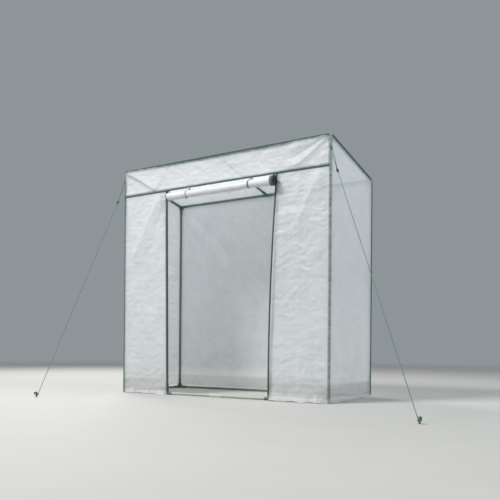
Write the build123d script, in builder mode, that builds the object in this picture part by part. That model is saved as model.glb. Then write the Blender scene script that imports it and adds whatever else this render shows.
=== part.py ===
from build123d import *
import math
import os

# Mono-pitch film greenhouse: a frame of steel tubes in moulded sockets, under a sewn film cover.
# Millimetres. X runs along the front, +Y to the back, Z up. The origin is on the ground, under the
# middle of the door sill, and the front tubes stand over the X axis.

# Overall sizes, over the film
width = 1980
depth = 805
front_height = 1928
roof_fall = 150
fascia_height = 220

# Steel tube
tube_d = 19
tube_wall = 0.8

# Moulded connectors: ball hub, sleeves that the tubes push into, and a bead at each mouth
hub_d = 25
sleeve_d = 23.6
tee_run_d = 24.4
bead_length = 8
tube_fit = 0.3
socket_reach = 75
socket_floor = 13
tee_half_length = 45
sill_sleeve_length = 116
foot_pad_width = 14
web_reach = 48
web_thickness = 3

# Film cover
film = 2
film_fit = 0.3

# Door opening between the free film edges, at the ground and at the lintel
door_left_foot = -484
door_left_head = -508
door_right_foot = 479
door_right_head = 540
door_right_bow = 18
door_post_set_back = 12

# Sewn binding tape on the seams and free edges
binding_leg = 14
binding = 1.2
binding_fit = 0.3
binding_stop = 20

# Rolled-up door and its ties
roll_left = -487
roll_right = 577
roll_drop = 63
roll_d = 60
roll_flare_d = 82
roll_flare_length = 260
roll_eye_d = 14
roll_eye_depth = 60
tie_left = -271
tie_right = 317
tie_width = 10
tie_thickness = 1.2
tie_eye_r = 3

# Guy ropes, from the film at the front corners to pegs in the ground
rope_d = 5
right_guy_drop = 108
left_guy_drop = 93
right_peg_out = 905
left_peg_out = 149
peg_forward = 825
slider_share = 0.1045
slider_length = 30
slider_width = 14
slider_thickness = 7
slider_corner_r = 3
peg_height = 41
peg_shaft = 12
peg_hook_reach = 14
peg_hook_depth = 14
peg_lip = 7
peg_thickness = 8
peg_corner_r = 4
peg_rope_height = 15

# Places that follow from the sizes above
tube_r = tube_d / 2
hub_r = hub_d / 2
sleeve_r = sleeve_d / 2
tee_run_r = tee_run_d / 2
bore_r = tube_r + tube_fit
film_in = hub_r + film_fit
film_out = film_in + film
post_x = width / 2 - film_out
back_y = depth - 2 * film_out
back_height = front_height - roof_fall
lintel_height = front_height - fascia_height
roll_centre_height = lintel_height - roll_drop
ground_z = hub_r
pitch = math.atan2(roof_fall, depth)
down_slope = Vector(0, math.cos(pitch), -math.sin(pitch))
roof_normal = Vector(0, math.sin(pitch), math.cos(pitch))


def roof_z(y, below=0):
    """Height of the roof film's outer face at y, or of a plane that lies below it."""
    return front_height - math.tan(pitch) * (y + film_out) - below / math.cos(pitch)


ridge_z = roof_z(0, film_out)
eave_z = roof_z(back_y, film_out)
door_left_post_foot = door_left_foot - door_post_set_back
door_left_post_head = door_left_head - door_post_set_back
door_right_post_foot = door_right_foot + door_post_set_back
door_right_post_head = door_right_head + door_post_set_back

os.makedirs("parts", exist_ok=True)


def save(part, label):
    """Name a finished piece and write it."""
    part.label = label
    export_step(part, f"parts/{label}.step")


def toward(start, end):
    """Unit vector from one point to another."""
    return (Vector(*end) - Vector(*start)).normalized()


# Frame tubes. Each ends inside a socket, just off the socket's floor.
def frame_tube(label, start_hub, end_hub):
    """A length of round tube between two connector hubs."""
    run = toward(start_hub, end_hub)
    end_gap = socket_floor + tube_fit
    length = (Vector(*end_hub) - Vector(*start_hub)).length - 2 * end_gap
    with BuildPart() as piece:
        with BuildSketch(Plane(origin=Vector(*start_hub) + run * end_gap, z_dir=run)):
            Circle(tube_r)
            Circle(tube_r - tube_wall, mode=Mode.SUBTRACT)
        extrude(amount=length)
    save(piece.part, label)


ridge_left, ridge_right = (-post_x, 0, ridge_z), (post_x, 0, ridge_z)
eave_left, eave_right = (-post_x, back_y, eave_z), (post_x, back_y, eave_z)
front_left, front_right = (-post_x, 0, ground_z), (post_x, 0, ground_z)
back_left, back_right = (-post_x, back_y, ground_z), (post_x, back_y, ground_z)
lintel_left, lintel_right = (-post_x, 0, lintel_height), (post_x, 0, lintel_height)
ridge_middle, eave_middle = (0, 0, ridge_z), (0, back_y, eave_z)
door_foot_left = (door_left_post_foot, 0, ground_z)
door_foot_right = (door_right_post_foot, 0, ground_z)
door_head_left = (door_left_post_head, 0, lintel_height)
door_head_right = (door_right_post_head, 0, lintel_height)

frame_tube("front_left_post", front_left, ridge_left)
frame_tube("front_right_post", front_right, ridge_right)
frame_tube("back_left_post", back_left, eave_left)
frame_tube("back_right_post", back_right, eave_right)
frame_tube("door_post_left", door_foot_left, door_head_left)
frame_tube("door_post_right", door_foot_right, door_head_right)
frame_tube("ridge_rail", ridge_left, ridge_right)
frame_tube("lintel_rail", lintel_left, lintel_right)
frame_tube("eave_rail", eave_left, eave_right)
frame_tube("left_rafter", ridge_left, eave_left)
frame_tube("middle_rafter", ridge_middle, eave_middle)
frame_tube("right_rafter", ridge_right, eave_right)
frame_tube("front_ground_rail", front_left, front_right)
frame_tube("left_ground_rail", front_left, back_left)
frame_tube("right_ground_rail", front_right, back_right)
frame_tube("back_ground_rail", back_left, back_right)


# Moulded connectors
def corner_connector(hub, directions):
    """A ball hub with a blind socket in each direction, and a stiffening web between each pair."""
    with BuildPart() as piece:
        with Locations(Vector(*hub)):
            Sphere(hub_r)
        for way, next_way in zip(directions, directions[1:] + directions[:1]):
            with BuildSketch(Plane(origin=hub, x_dir=way, z_dir=way.cross(next_way))):
                with BuildLine():
                    lean = math.radians(way.get_angle(next_way))
                    tip = (web_reach * math.cos(lean), web_reach * math.sin(lean))
                    Polyline((0, 0), (web_reach, 0), tip, close=True)
                make_face()
            extrude(amount=web_thickness / 2, both=True)
        for way in directions:
            with BuildSketch(Plane(origin=hub, z_dir=way)):
                Circle(sleeve_r)
            extrude(amount=socket_reach)
            with BuildSketch(Plane(origin=Vector(*hub) + way * (socket_reach - bead_length), z_dir=way)):
                Circle(hub_r)
            extrude(amount=bead_length)
        for way in directions:
            with BuildSketch(Plane(origin=Vector(*hub) + way * socket_floor, z_dir=way)):
                Circle(bore_r)
            extrude(amount=socket_reach, mode=Mode.SUBTRACT)
    return piece.part


def tee_connector(hub, run, branch):
    """A sleeve that slides along a tube, with a blind socket for the tube that branches off."""
    with BuildPart() as piece:
        with BuildSketch(Plane(origin=Vector(*hub) - run * tee_half_length, z_dir=run)):
            Circle(tee_run_r)
        extrude(amount=2 * tee_half_length)
        with BuildSketch(Plane(origin=hub, z_dir=branch)):
            Circle(sleeve_r)
        extrude(amount=socket_reach)
        for way, reach in ((run, tee_half_length), (-run, tee_half_length), (branch, socket_reach)):
            with BuildSketch(Plane(origin=Vector(*hub) + way * (reach - bead_length), z_dir=way)):
                Circle(hub_r)
            extrude(amount=bead_length)
        with BuildSketch(Plane(origin=Vector(*hub) - run * tee_half_length, z_dir=run)):
            Circle(bore_r)
        extrude(amount=2 * tee_half_length, mode=Mode.SUBTRACT)
        with BuildSketch(Plane(origin=Vector(*hub) + branch * socket_floor, z_dir=branch)):
            Circle(bore_r)
        extrude(amount=socket_reach, mode=Mode.SUBTRACT)
    return piece.part


along = Vector(1, 0, 0)
back = Vector(0, 1, 0)
up = Vector(0, 0, 1)

with BuildPart() as ridge_corner_connectors:
    add(corner_connector(ridge_right, (-up, -along, down_slope)))
    mirror(about=Plane.YZ)
save(ridge_corner_connectors.part, "ridge_corner_connectors")

with BuildPart() as eave_corner_connectors:
    add(corner_connector(eave_right, (-up, -along, -down_slope)))
    mirror(about=Plane.YZ)
save(eave_corner_connectors.part, "eave_corner_connectors")

with BuildPart() as ground_corner_connectors:
    add(corner_connector(front_right, (up, -along, back)))
    mirror(about=Plane.XZ.offset(-back_y / 2))
    mirror(about=Plane.YZ)
save(ground_corner_connectors.part, "ground_corner_connectors")

with BuildPart() as roof_tee_connectors:
    add(tee_connector(ridge_middle, along, down_slope))
    add(tee_connector(eave_middle, along, -down_slope))
save(roof_tee_connectors.part, "roof_tee_connectors")

with BuildPart() as lintel_tee_connectors:
    add(tee_connector(lintel_right, up, -along))
    mirror(about=Plane.YZ)
save(lintel_tee_connectors.part, "lintel_tee_connectors")

with BuildPart() as door_head_connectors:
    add(tee_connector(door_head_left, along, toward(door_head_left, door_foot_left)))
    add(tee_connector(door_head_right, along, toward(door_head_right, door_foot_right)))
save(door_head_connectors.part, "door_head_connectors")

with BuildPart() as door_foot_connectors:
    add(tee_connector(door_foot_left, along, toward(door_foot_left, door_head_left)))
    add(tee_connector(door_foot_right, along, toward(door_foot_right, door_head_right)))
save(door_foot_connectors.part, "door_foot_connectors")

# Coupling in the middle of the sill, with a flat pad under it that stands on the ground
with BuildPart() as sill_sleeve:
    with BuildSketch(Plane.YZ.offset(-sill_sleeve_length / 2)):
        with Locations((0, ground_z)):
            Circle(sleeve_r)
        with Locations((0, ground_z / 2)):
            Rectangle(foot_pad_width, ground_z)
        with Locations((0, ground_z)):
            Circle(bore_r, mode=Mode.SUBTRACT)
    extrude(amount=sill_sleeve_length)
save(sill_sleeve.part, "sill_sleeve")


# Film cover, as it stands on the frame: sheets at the front between the door and the corners, a
# fascia over the lintel, a quarter wrap round each front post, two sides, a back and the roof.
def front_sheet(label, points, bow=None):
    """A sheet in the front plane from its outline in X and Z; bow is a point on a curved last side."""
    with BuildPart() as sheet:
        with BuildSketch(Plane.XZ.offset(film_in)):
            with BuildLine():
                Polyline(points)
                if bow:
                    ThreePointArc(points[-1], bow, points[0])
                else:
                    Line(points[-1], points[0])
            make_face()
        extrude(amount=film)
    save(sheet.part, label)


door_right_middle = ((door_right_foot + door_right_head) / 2 - door_right_bow, lintel_height / 2)
front_sheet(
    "front_panel_left",
    [(door_left_foot, 0), (-post_x, 0), (-post_x, lintel_height), (door_left_head, lintel_height)],
)
front_sheet(
    "front_panel_right",
    [(door_right_head, lintel_height), (post_x, lintel_height), (post_x, 0), (door_right_foot, 0)],
    bow=door_right_middle,
)

with BuildPart() as front_fascia:
    with BuildSketch(Plane.YZ.offset(-post_x)):
        with BuildLine():
            Polyline(
                (-film_out, lintel_height),
                (-film_in, lintel_height),
                (-film_in, roof_z(-film_in, film)),
                (-film_out, roof_z(-film_out, film)),
                close=True,
            )
        make_face()
    extrude(amount=2 * post_x)
save(front_fascia.part, "front_fascia")

roof_underside = Plane(origin=(0, 0, roof_z(0, film)), z_dir=roof_normal)

with BuildPart() as front_corner_films:
    with BuildSketch(Plane.XY):
        with Locations((post_x, 0)):
            Circle(film_out)
            Circle(film_in, mode=Mode.SUBTRACT)
            Rectangle(film_out, film_out, align=(Align.MIN, Align.MAX), mode=Mode.INTERSECT)
    extrude(amount=front_height)
    split(bisect_by=roof_underside, keep=Keep.BOTTOM)
    mirror(about=Plane.YZ)
save(front_corner_films.part, "front_corner_films")

with BuildPart() as right_side_panel:
    with BuildSketch(Plane.YZ.offset(post_x + film_in)):
        with BuildLine():
            Polyline(
                (0, 0),
                (back_y + film_out, 0),
                (back_y + film_out, roof_z(back_y + film_out, film)),
                (0, roof_z(0, film)),
                close=True,
            )
        make_face()
    extrude(amount=film)
save(right_side_panel.part, "right_side_panel")

with BuildPart() as left_side_panel:
    add(right_side_panel.part)
    mirror(about=Plane.YZ, mode=Mode.REPLACE)
save(left_side_panel.part, "left_side_panel")

with BuildPart() as back_panel:
    with BuildSketch(Plane.YZ.offset(-(post_x + film_in))):
        with BuildLine():
            Polyline(
                (back_y + film_in, 0),
                (back_y + film_out, 0),
                (back_y + film_out, roof_z(back_y + film_out, film)),
                (back_y + film_in, roof_z(back_y + film_in, film)),
                close=True,
            )
        make_face()
    extrude(amount=2 * (post_x + film_in))
save(back_panel.part, "back_panel")

with BuildPart() as roof_panel:
    with BuildSketch(Plane.YZ.offset(-width / 2)):
        with BuildLine():
            Polyline(
                (-film_out, roof_z(-film_out, film)),
                (back_y + film_out, roof_z(back_y + film_out, film)),
                (back_y + film_out, roof_z(back_y + film_out)),
                (-film_out, roof_z(-film_out)),
                close=True,
            )
        make_face()
    extrude(amount=width)
save(roof_panel.part, "roof_panel")


# Sewn binding: a tape folded over each seam, and flat tapes on the lintel seam and door edges
def folded_tape(corner, leg_a, leg_b):
    """Outline of a tape folded over a corner, with its legs along two faces."""
    opening = math.sin(math.radians(leg_a.get_angle(leg_b)))
    inner = corner - (leg_a + leg_b) * (binding_fit / opening)
    outer = corner - (leg_a + leg_b) * ((binding_fit + binding) / opening)
    reach_a = binding_leg - (outer - inner).dot(leg_a)
    reach_b = binding_leg - (outer - inner).dot(leg_b)
    return [
        inner,
        inner + leg_a * binding_leg,
        outer + leg_a * reach_a,
        outer,
        outer + leg_b * reach_b,
        inner + leg_b * binding_leg,
    ]


def tape_along_x(label, corner, leg_a, leg_b):
    """A folded tape that runs along the front or the back, short of the corners of the roof."""
    with BuildPart() as tape:
        with BuildSketch(Plane.YZ.offset(-width / 2 + binding_stop)):
            with BuildLine():
                Polyline(folded_tape(corner, leg_a, leg_b), close=True)
            make_face()
        extrude(amount=width - 2 * binding_stop)
    save(tape.part, label)


slope_on_paper = Vector(math.cos(pitch), -math.sin(pitch))
tape_along_x("ridge_binding", Vector(-film_out, front_height), Vector(0, -1), slope_on_paper)
tape_along_x("eave_binding", Vector(back_y + film_out, back_height), Vector(0, -1), -slope_on_paper)

with BuildPart() as gable_bindings:
    slope_start = Vector(width / 2, -film_out, front_height) + down_slope * binding_stop
    slope_length = depth / math.cos(pitch) - 2 * binding_stop
    with BuildSketch(Plane(origin=slope_start, x_dir=-along, z_dir=down_slope)):
        with BuildLine():
            Polyline(folded_tape(Vector(0, 0), Vector(1, 0), Vector(0, -1)), close=True)
        make_face()
    extrude(amount=slope_length)
    mirror(about=Plane.YZ)
save(gable_bindings.part, "gable_bindings")

with BuildPart() as back_corner_bindings:
    with BuildSketch(Plane.XY):
        with BuildLine():
            Polyline(
                folded_tape(Vector(width / 2, back_y + film_out), Vector(-1, 0), Vector(0, -1)),
                close=True,
            )
        make_face()
    extrude(amount=back_height - binding_stop)
    mirror(about=Plane.YZ)
save(back_corner_bindings.part, "back_corner_bindings")

tape_face = Plane.XZ.offset(film_out + binding_fit)

with BuildPart() as lintel_binding:
    with BuildSketch(tape_face):
        with Locations((0, lintel_height)):
            Rectangle(2 * post_x, binding_leg)
    extrude(amount=binding)
save(lintel_binding.part, "lintel_binding")

door_tape_top = lintel_height - binding_leg / 2 - binding_fit


def door_edge_x(foot, head, height, bow=0):
    """Where the free film edge beside the door stands at a height."""
    share = height / lintel_height
    return foot + (head - foot) * share - 4 * bow * share * (1 - share)


with BuildPart() as door_edge_bindings:
    with BuildSketch(tape_face):
        with BuildLine():
            left_top = door_edge_x(door_left_foot, door_left_head, door_tape_top)
            Polyline(
                (door_left_foot, 0),
                (left_top, door_tape_top),
                (left_top - binding_leg, door_tape_top),
                (door_left_foot - binding_leg, 0),
                close=True,
            )
        make_face()
        with BuildLine():
            right_top = door_edge_x(door_right_foot, door_right_head, door_tape_top, door_right_bow)
            right_middle = door_edge_x(
                door_right_foot, door_right_head, door_tape_top / 2, door_right_bow
            )
            Line((door_right_foot + binding_leg, 0), (door_right_foot, 0))
            ThreePointArc((door_right_foot, 0), (right_middle, door_tape_top / 2), (right_top, door_tape_top))
            Line((right_top, door_tape_top), (right_top + binding_leg, door_tape_top))
            ThreePointArc(
                (right_top + binding_leg, door_tape_top),
                (right_middle + binding_leg, door_tape_top / 2),
                (door_right_foot + binding_leg, 0),
            )
        make_face()
    extrude(amount=binding)
save(door_edge_bindings.part, "door_edge_bindings")


# Door: rolled up, slimmer at the left than at the flared right end, and tied under the lintel.
# Its back stays one tie and two gaps off the film.
roll_stand_off = film_out + tie_thickness + 2 * binding_fit
roll_start = Vector(roll_left, -(roll_stand_off + roll_d / 2), roll_centre_height)
roll_end = Vector(roll_right, -(roll_stand_off + roll_flare_d / 2), roll_centre_height)
roll_way = toward(roll_start, roll_end)
roll_length = (roll_end - roll_start).length
roll_plane = Plane(origin=roll_start, x_dir=roll_way, z_dir=roll_way.cross(up))
flare_start = roll_length - roll_flare_length
flare_growth = (roll_flare_d - roll_d) / 2
flare_arc_r = (roll_flare_length**2 + flare_growth**2) / (2 * flare_growth)


def roll_radius(distance):
    """Radius of the roll at a distance from its left end: straight, then flared in one arc."""
    past = max(0, distance - flare_start)
    return roll_d / 2 + flare_arc_r - math.sqrt(flare_arc_r**2 - past**2)


with BuildPart() as door_roll:
    with BuildSketch(roll_plane):
        with BuildLine():
            Polyline((roll_length - roll_eye_depth, 0), (0, 0), (0, roll_d / 2), (flare_start, roll_d / 2))
            TangentArc((flare_start, roll_d / 2), (roll_length, roll_flare_d / 2), tangent=(1, 0))
            Polyline(
                (roll_length, roll_flare_d / 2),
                (roll_length, roll_eye_d / 2),
                (roll_length - roll_eye_depth, roll_eye_d / 2),
                (roll_length - roll_eye_depth, 0),
            )
        make_face()
    revolve(axis=Axis(roll_start, roll_way))
save(door_roll.part, "door_roll")


def touching_points(big, big_r, small, small_r):
    """Corners of the figure whose two long sides touch both circles."""
    gap = small - big
    lean = math.acos((big_r - small_r) / gap.length)
    corners = []
    for turn in (lean, -lean):
        side = gap.normalized().rotate(Axis.Z, math.degrees(turn))
        corners += [big + side * big_r, small + side * small_r]
    return [corners[0], corners[1], corners[3], corners[2]]


def door_tie(x):
    """A strap that hangs from the lintel seam, in one loop round the roll."""
    distance = (x - roll_left) / roll_way.X
    centre = roll_start + roll_way * distance
    roll_r = roll_radius(distance + tie_width / 2) + binding_fit
    round_roll = Vector(centre.Y, centre.Z)
    at_seam = Vector(-(film_out + binding_fit + binding / 2), door_tape_top - tie_eye_r)
    with BuildPart() as tie:
        for inset, mode in ((0, Mode.ADD), (tie_thickness, Mode.SUBTRACT)):
            loop_r = roll_r + tie_thickness - inset
            eye_r = tie_eye_r - inset
            with BuildSketch(Plane.YZ.offset(x - tie_width / 2)):
                with Locations(round_roll):
                    Circle(loop_r)
                with Locations(at_seam):
                    Circle(eye_r)
                with BuildLine():
                    Polyline(touching_points(round_roll, loop_r, at_seam, eye_r), close=True)
                make_face()
            extrude(amount=tie_width, mode=mode)
    return tie.part


with BuildPart() as door_ties:
    add(door_tie(tie_left))
    add(door_tie(tie_right))
save(door_ties.part, "door_ties")


# Guying: a rope from the film at each front corner to a hooked peg, with a slider near its top
def guy(side, drop, peg_out):
    """The ends of one rope, the direction of its peg on plan, and its own direction."""
    corner = Vector(side * post_x, 0, front_height - drop)
    foot = Vector(side * (post_x + peg_out), -peg_forward, peg_rope_height)
    plan = Vector(foot.X - corner.X, foot.Y - corner.Y, 0).normalized()
    return corner, foot, plan, toward(corner, foot)


def guy_rope(label, side, drop, peg_out):
    """A taut rope, cut flush to the corner's film at the top and to the peg at the bottom."""
    corner, foot, plan, way = guy(side, drop, peg_out)
    with BuildPart() as rope:
        with BuildSketch(Plane(origin=corner, z_dir=way)):
            Circle(rope_d / 2)
        extrude(amount=(foot - corner).length)
        split(bisect_by=Plane(origin=corner + plan * (film_out + binding_fit), z_dir=plan), keep=Keep.TOP)
        split(
            bisect_by=Plane(origin=foot - plan * (peg_shaft / 2 + binding_fit), z_dir=plan),
            keep=Keep.BOTTOM,
        )
    save(rope.part, label)


def guy_slider(side, drop, peg_out):
    """A small plate with rounded ends that the rope runs through."""
    corner, foot, plan, way = guy(side, drop, peg_out)
    middle = corner + (foot - corner) * slider_share
    with BuildPart() as slider:
        with BuildSketch(Plane(origin=middle, x_dir=way, z_dir=plan.cross(up))):
            RectangleRounded(slider_length, slider_thickness, slider_corner_r)
        extrude(amount=slider_width / 2, both=True)
        with BuildSketch(Plane(origin=middle - way * slider_length, z_dir=way)):
            Circle(rope_d / 2 + binding_fit)
        extrude(amount=2 * slider_length, mode=Mode.SUBTRACT)
    return slider.part


def guy_peg(side, drop, peg_out):
    """A flat peg, seen above the ground, with a hook that faces away from the rope."""
    corner, foot, plan, way = guy(side, drop, peg_out)
    near = -peg_shaft / 2
    far = peg_shaft / 2
    hook_under = peg_height - peg_hook_depth
    with BuildPart() as stake:
        with BuildSketch(Plane(origin=(foot.X, foot.Y, 0), x_dir=plan, z_dir=plan.cross(up))) as outline:
            with BuildLine():
                Polyline(
                    (near, 0),
                    (far, 0),
                    (far, hook_under),
                    (far + peg_hook_reach - peg_lip, hook_under),
                    (far + peg_hook_reach - peg_lip, hook_under - peg_lip),
                    (far + peg_hook_reach, hook_under - peg_lip),
                    (far + peg_hook_reach, peg_height),
                    (near, peg_height),
                    close=True,
                )
            make_face()
            fillet(outline.vertices().group_by(Axis.Y)[-1], radius=peg_corner_r)
        extrude(amount=peg_thickness / 2, both=True)
    return stake.part


guy_rope("right_guy_rope", 1, right_guy_drop, right_peg_out)
guy_rope("left_guy_rope", -1, left_guy_drop, left_peg_out)

with BuildPart() as guy_sliders:
    add(guy_slider(1, right_guy_drop, right_peg_out))
    add(guy_slider(-1, left_guy_drop, left_peg_out))
save(guy_sliders.part, "guy_sliders")

with BuildPart() as guy_pegs:
    add(guy_peg(1, right_guy_drop, right_peg_out))
    add(guy_peg(-1, left_guy_drop, left_peg_out))
save(guy_pegs.part, "guy_pegs")
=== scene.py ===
from math import acos, atan, atan2, cos, hypot, pi, radians, sin

import bmesh
import bpy
import numpy as np
from mathutils import Matrix, Vector


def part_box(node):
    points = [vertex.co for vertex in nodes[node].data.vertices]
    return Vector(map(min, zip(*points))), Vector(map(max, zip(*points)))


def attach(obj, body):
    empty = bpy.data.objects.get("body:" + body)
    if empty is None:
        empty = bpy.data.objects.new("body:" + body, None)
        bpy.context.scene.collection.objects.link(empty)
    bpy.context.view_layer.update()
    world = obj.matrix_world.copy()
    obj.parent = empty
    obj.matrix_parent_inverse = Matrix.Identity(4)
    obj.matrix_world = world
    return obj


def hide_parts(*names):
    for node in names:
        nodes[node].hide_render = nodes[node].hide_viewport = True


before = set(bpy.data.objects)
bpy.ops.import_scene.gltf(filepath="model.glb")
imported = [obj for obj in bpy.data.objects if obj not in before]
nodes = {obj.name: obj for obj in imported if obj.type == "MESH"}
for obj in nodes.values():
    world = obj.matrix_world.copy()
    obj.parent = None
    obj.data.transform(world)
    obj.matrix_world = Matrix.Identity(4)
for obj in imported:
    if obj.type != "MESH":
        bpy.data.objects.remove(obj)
scene = bpy.context.scene
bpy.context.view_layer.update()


# The photograph's viewpoint: off the right front corner, at knee height, with a level camera, as the
# upright posts show. The picture is the upper part of a taller one, so the lens is shifted upwards.
def placed(name, data):
    """A new object in the scene, with this data."""
    item = bpy.data.objects.new(name, data)
    scene.collection.objects.link(item)
    return item


camera_place = Vector((2.8756, -4.1255, 0.3932))
turned_left, leaned = 0.5558, 0.008
up = Vector((0, 0, 1))
sight = Vector((-sin(turned_left), cos(turned_left), 0))
level_right = Vector((cos(turned_left), sin(turned_left), 0))
picture_right = level_right * cos(leaned) + up * sin(leaned)
picture_up = up * cos(leaned) - level_right * sin(leaned)
camera = placed("camera", bpy.data.cameras.new("camera"))
camera.matrix_world = (
    Matrix.Translation(camera_place) @ Matrix((picture_right, picture_up, -sight)).transposed().to_4x4()
)
camera.data.lens = 45.515
camera.data.shift_y = 0.1962
scene.camera = camera


# Frame: thin steel tubes, powder coated dark green, pushed into moulded sockets. The coat is finely
# pebbled, and soil dust lies on the lowest tubes; the bare sill between the door posts is pale
# all round, but for its underside.
def wire(tree, kind, sockets=None, **settings):
    """A node with its settings, and with its sockets set to a value or joined to another's."""
    node = tree.nodes.new(kind)
    for name, value in settings.items():
        setattr(node, name, value)
    for name, value in (sockets or {}).items():
        if isinstance(value, bpy.types.NodeSocket):
            tree.links.new(value, node.inputs[name])
        else:
            node.inputs[name].default_value = value
    return node


def shade(tree, kind, sockets=None, output=0, **settings):
    """One output of a new shader node, the first unless another is named."""
    return wire(tree, "ShaderNode" + kind, sockets, **settings).outputs[output]


def work_out(tree, operation, first, second=0.0):
    """One step of arithmetic between sockets or numbers."""
    return shade(tree, "Math", {0: first, 1: second}, operation=operation)


def times(tree, first, second):
    """One share times another."""
    return work_out(tree, "MULTIPLY", first, second)


def split(tree, vector):
    """The X, Y and Z of a vector."""
    return wire(tree, "ShaderNodeSeparateXYZ", {0: vector}).outputs


def span(tree, value, low, high, bottom=0.0, top=1.0):
    """A value carried smoothly from low..high to bottom..top, and held beyond."""
    sockets = {"Value": value, "From Min": low, "From Max": high, "To Min": bottom, "To Max": top}
    return shade(tree, "MapRange", sockets, interpolation_type="SMOOTHSTEP")


def mottle(tree, place, size, detail=3.0, stretch=None):
    """Smooth random values around a half, with patches of about the given size in metres."""
    if stretch:
        place = shade(tree, "Mapping", {"Vector": place, "Scale": stretch})
    return shade(tree, "TexNoise", {"Vector": place, "Scale": 1 / size, "Detail": detail})


def mix(tree, share, first, second):
    """Two colours mixed by a share."""
    return shade(tree, "Mix", {0: share, 6: first, 7: second}, 2, data_type="RGBA")


def relief(tree, height, depth, strength=1.0, below=None):
    """A bump from a height of 0 to 1, where 1 stands depth metres out."""
    sockets = {"Height": height, "Distance": depth, "Strength": strength}
    if below:
        sockets["Normal"] = below
    return shade(tree, "Bump", sockets)


def blank_material(name):
    """An empty material, its node tree, and the object's own coordinates."""
    material = bpy.data.materials.new(name)
    material.use_nodes = True
    tree = material.node_tree
    tree.nodes.clear()
    return material, tree, shade(tree, "TexCoord", output="Object")


def finish_with(tree, shader):
    """Join a shader to the material's surface."""
    wire(tree, "ShaderNodeOutputMaterial", {"Surface": shader})


def coated(material, colour, rough, bump, sheen=0.0):
    """The material, finished with a solid surface of this colour and roughness."""
    sockets = {"Base Color": colour, "Roughness": rough, "Normal": bump, "Sheen Weight": sheen}
    finish_with(material.node_tree, shade(material.node_tree, "BsdfPrincipled", sockets))
    return material


dust = (0.23, 0.18, 0.13, 1)


def powder_coat(name, sill_half=0.0):
    """Green powder coat; within sill_half of the middle it is pale, but for its underside."""
    material, tree, place = blank_material(name)
    spot = split(tree, place)
    patches = mottle(tree, place, 0.08)
    colour = mix(tree, patches, (0.065, 0.14, 0.108, 1), (0.11, 0.21, 0.168, 1))
    low_down = times(tree, span(tree, spot["Z"], 0.09, 0.0), patches)
    colour = mix(tree, times(tree, low_down, 0.7), colour, dust)
    if sill_half:
        facing = split(tree, shade(tree, "NewGeometry", output="Normal"))
        near = span(tree, work_out(tree, "ABSOLUTE", spot["X"]), sill_half, sill_half - 0.01)
        # The sill is pale all round but for its underside, which keeps the green coat.
        pale_share = times(tree, near, span(tree, facing["Z"], -0.97, -0.5))
        streaks = mottle(tree, place, 0.03, stretch=(0.15, 1, 1))
        pale = mix(tree, streaks, (0.34, 0.44, 0.35, 1), (0.46, 0.56, 0.46, 1))
        colour = mix(tree, pale_share, colour, pale)
    pebbles = relief(tree, mottle(tree, place, 0.0011, 1.0), 0.00008, 0.6)
    rough = span(tree, mottle(tree, place, 0.02), 0.3, 0.7, 0.34, 0.52)
    return coated(material, colour, rough, pebbles)


def dress(material, *words):
    """Finish the CAD nodes that keep their shape and have one of these words in their name."""
    for name, node in nodes.items():
        if any(word in name for word in words):
            node.data.materials.clear()
            node.data.materials.append(material)


dress(powder_coat("green_powder_coat"), "post", "rail", "rafter")
dress(powder_coat("green_powder_coat_pale_sill", sill_half=0.485), "front_ground_rail")


# Connectors: corner and tee sockets injection moulded in dark green plastic, which the tubes push
# into, and a pale coupling in the sill. The skin is finely spark-eroded, a little glossier than the
# tubes, and dusty near the soil.
def moulded_plastic(name, dark, light, gloss=0.36, dirt=1.0):
    """Moulded plastic with a fine grain, flow marks and dust near the ground."""
    material, tree, place = blank_material(name)
    flow = mottle(tree, place, 0.018, 4.0)
    near_soil = span(tree, split(tree, place)["Z"], 0.05, 0.0, 0.0, dirt)
    soiled = times(tree, near_soil, mottle(tree, place, 0.01))
    colour = mix(tree, soiled, mix(tree, flow, dark, light), dust)
    grain = relief(tree, mottle(tree, place, 0.0007, 1.0), 0.00005, 0.7)
    return coated(material, colour, span(tree, flow, 0.3, 0.7, gloss, gloss + 0.16), grain)


dress(moulded_plastic("dark_green_socket_plastic", (0.045, 0.105, 0.08, 1), (0.075, 0.155, 0.12, 1)),
      "connectors")
dress(moulded_plastic("pale_coupling_plastic", (0.46, 0.56, 0.46, 1), (0.58, 0.68, 0.57, 1), dirt=0.25),
      "sill_sleeve")


# Film cover: white polyethylene film laminated on a net of thin threads, cut into panels, sewn
# together and pulled over the frame like a loose box. It keeps the creases of its packing and hangs
# slack between the tubes. Each tube that it lies on is painted on its outer face as a grey-green
# line of painted shade, for the tube's shadow and for the tube seen through the film.
def middle(name):
    """Middle of a CAD node's box."""
    low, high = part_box(name)
    return (low + high) / 2


post_x = middle("front_right_post").x
back_y = middle("back_right_post").y
lintel_z = middle("lintel_rail").z
ground_z = middle("front_ground_rail").z
ridge_z, eave_z = middle("ridge_rail").z, middle("eave_rail").z
slope = (ridge_z - eave_z) / back_y
pitch = atan(slope)
skin = -middle("front_fascia").y
side_x, rear_y = post_x + skin, back_y + skin
socket_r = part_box("sill_sleeve")[1].z / 2
# Foot, lean and bow of the film's free edge on each side of the door.
door_edges = {-1: (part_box("front_panel_left")[1].x, -0.024, 0), 1: (0.479, 0.061, 0.018)}
post_set_back = 0.012
mesh_step = 0.008


def roof_height(y):
    """Height of the roof film above a place that is y behind the front tubes."""
    return ridge_z - slope * y + skin * hypot(1, slope)


def steps(low, high):
    """Places from low to high, about one mesh step apart."""
    return np.linspace(low, high, round((high - low) / mesh_step) + 1)


def ease(share):
    """A smooth step from 0 to 1."""
    share = np.clip(share, 0, 1)
    return share * share * (3 - 2 * share)


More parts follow.
